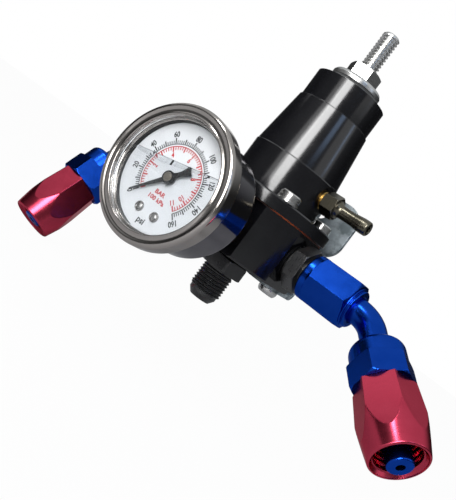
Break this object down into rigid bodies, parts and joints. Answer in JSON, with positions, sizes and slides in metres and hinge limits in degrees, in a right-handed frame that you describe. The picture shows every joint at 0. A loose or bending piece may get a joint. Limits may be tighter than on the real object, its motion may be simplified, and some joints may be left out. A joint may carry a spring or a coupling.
{
  "type": "fuel pressure regulator",
  "caption": "Adjustable fuel pressure regulator on a bent bracket, with a liquid-filled gauge, swivelling hose ends, vacuum nipple and return fitting.",
  "frame": {"origin": "midway between the two wall bolt holes, on the bracket's rear face", "axes": "+Z along the regulator's axis towards the adjuster, +X along the fuel ports to the right hose end, -Y out of the gauge's face"},
  "size_m": [0.1997, 0.0993, 0.155],
  "materials": {
    "black_anodised": "satin black anodised, turned",
    "blue_anodised": "satin blue anodised",
    "red_anodised": "satin red anodised",
    "zinc_plate": "bright zinc plated sheet",
    "bright_steel": "bright plated",
    "plain_steel": "plain machined",
    "spring_steel": "oiled spring wire",
    "stainless": "polished stainless",
    "brass": "machined",
    "nickel_brass": "worn nickel plate over brass",
    "black_rubber": "matt",
    "membrane": "orange rubbered fabric",
    "lens": "clear",
    "dial_white": "matt white",
    "dial_black": "matt black"
  },
  "bodies": {
    "regulator": {"base_body": "black_anodised", "bonnet": "black_anodised", "right_adapter": "black_anodised", "left_adapter": "black_anodised", "return_adapter": "black_anodised", "right_swivel_nut": "blue_anodised", "left_swivel_nut": "blue_anodised", "right_elbow": "blue_anodised", "left_elbow": "blue_anodised", "bracket": "zinc_plate", "flange_screws": "bright_steel", "flange_washers": "bright_steel", "bracket_screws": "bright_steel", "dial_screws": "plain_steel", "regulator_spring": "spring_steel", "gauge_case": "stainless", "gauge_bezel": "stainless", "valve_seat": "brass", "gauge_stem": "brass", "movement_back_plate": "brass", "movement_front_plate": "brass", "bourdon_tube": "brass", "vacuum_nipple": "nickel_brass", "right_adapter_seal": "black_rubber", "left_adapter_seal": "black_rubber", "return_adapter_seal": "black_rubber", "right_swivel_seal": "black_rubber", "left_swivel_seal": "black_rubber", "fill_plug": "black_rubber", "diaphragm": "membrane", "gauge_lens": "lens", "gauge_dial": "dial_white", "dial_ring": "dial_black"},
    "valve": {"valve_disc": "black_rubber", "lower_plate": "plain_steel", "upper_plate": "plain_steel", "plate_nut": "plain_steel"},
    "spring_carrier": {"spring_seat": "plain_steel"},
    "adjuster": {"adjusting_screw": "bright_steel"},
    "lock_nut": {"jam_nut": "bright_steel"},
    "pointer": {"gauge_pointer": "dial_black", "pointer_arbor": "brass"},
    "sector": {"sector_gear": "brass"},
    "link": {"drive_link": "plain_steel"},
    "right_hose": {"right_hose_body": "blue_anodised", "right_socket": "red_anodised"},
    "left_hose": {"left_hose_body": "blue_anodised", "left_socket": "red_anodised"}
  },
  "joints": [
    {"name": "valve_lift", "type": "slide", "parent": "regulator", "child": "valve", "axis": [0, 0, 1], "range_m": [0, 0.0008], "stiffness_N_per_m": 2000, "deforming": ["diaphragm"]},
    {"name": "spring_seat_travel", "type": "slide", "parent": "regulator", "child": "spring_carrier", "axis": [0, 0, 1], "range_m": [-0.006, 0.0015], "deforming": ["regulator_spring"]},
    {"name": "adjuster_turn", "type": "hinge", "parent": "spring_carrier", "child": "adjuster", "pos_m": [0, -0.0313, 0.05], "axis": [0, 0, 1], "range_deg": [-1450, 370]},
    {"name": "jam_nut_turn", "type": "hinge", "parent": "regulator", "child": "lock_nut", "pos_m": [0, -0.0313, 0.052], "axis": [0, 0, 1], "range_deg": [0, 90]},
    {"name": "pointer_sweep", "type": "hinge", "parent": "regulator", "child": "pointer", "pos_m": [0, -0.09, -0.0276], "axis": [0, 1, 0], "range_deg": [-5, 275]},
    {"name": "sector_swing", "type": "hinge", "parent": "regulator", "child": "sector", "pos_m": [0, -0.0857, -0.0356], "axis": [0, 1, 0], "range_deg": [-51.92, 0], "stiffness_Nm_per_rad": 0.004},
    {"name": "link_swing", "type": "hinge", "parent": "sector", "child": "link", "pos_m": [-0.005, -0.0857, -0.0356], "axis": [0, 1, 0], "range_deg": [-3, 55]},
    {"name": "right_hose_swivel", "type": "hinge", "parent": "regulator", "child": "right_hose", "pos_m": [0.0633, -0.0313, -0.026], "axis": [0.7071, -0.5247, -0.4741], "continuous": true},
    {"name": "left_hose_swivel", "type": "hinge", "parent": "regulator", "child": "left_hose", "pos_m": [-0.0763, -0.0313, -0.026], "axis": [0, -0.4462, -0.8949], "continuous": true}
  ],
  "couplings": [
    {"joint": "adjuster_turn", "follows": "spring_seat_travel", "rad_per_m": 4188.8},
    {"joint": "pointer_sweep", "follows": "sector_swing", "ratio": -5.2},
    {"joint": "link_swing", "follows": "sector_swing", "ratio": -1}
  ]
}
